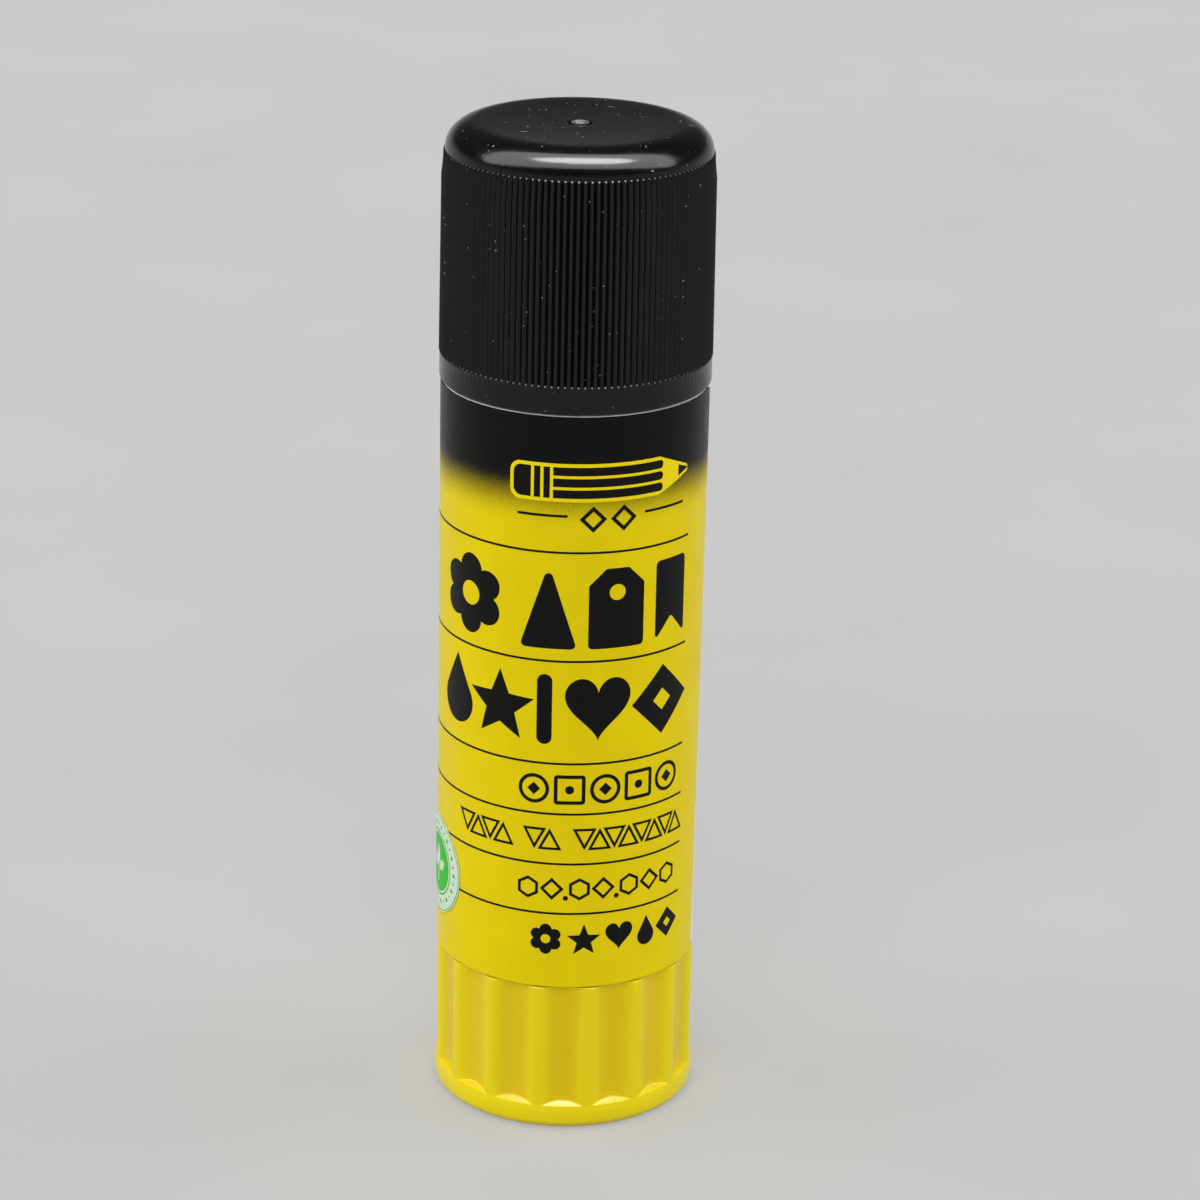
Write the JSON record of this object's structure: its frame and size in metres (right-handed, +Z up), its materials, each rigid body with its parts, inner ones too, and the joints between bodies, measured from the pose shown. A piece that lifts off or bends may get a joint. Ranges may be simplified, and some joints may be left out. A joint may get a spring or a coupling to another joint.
{
  "type": "glue stick",
  "caption": "Twist-up solid glue stick: fluted base knob turns a screw that raises the glue out of a labelled round barrel, under a finely ribbed pull-off cap.",
  "frame": {"origin": "middle of the resting face, under the base knob", "axes": "+Z up along the stick towards the cap, -Y towards the front of the label"},
  "size_m": [0.03, 0.03, 0.1132],
  "materials": {
    "knob_plastic": "glossy, slightly translucent yellow moulded plastic",
    "barrel_plastic": "glossy white moulded plastic",
    "screw_plastic": "natural white moulded plastic",
    "solid_glue": "smooth waxy white solid glue",
    "label_film": "printed film, yellow fading to black at the top",
    "sticker_film": "printed film, green and white",
    "cap_plastic": "glossy black moulded plastic, finely ribbed side"
  },
  "bodies": {
    "barrel": {"barrel": "barrel_plastic", "label": "label_film", "sticker": "sticker_film"},
    "knob": {"base_knob": "knob_plastic", "spindle": "screw_plastic"},
    "lift": {"carrier": "screw_plastic", "glue": "solid_glue"},
    "cap": {"cap": "cap_plastic"}
  },
  "joints": [
    {"name": "knob_turn", "type": "hinge", "parent": "barrel", "child": "knob", "pos_m": [0, 0, 0], "axis": [0, 0, 1], "range_deg": [-3552, 777]},
    {"name": "carrier_slide", "type": "slide", "parent": "barrel", "child": "lift", "axis": [0, 0, 1], "range_m": [-0.05921, 0.01296]},
    {"name": "cap_pull", "type": "slide", "parent": "barrel", "child": "cap", "axis": [0, 0, 1], "range_m": [0, 0.045]}
  ],
  "couplings": [
    {"joint": "carrier_slide", "follows": "knob_turn", "m_per_rad": 0.00095493}
  ]
}
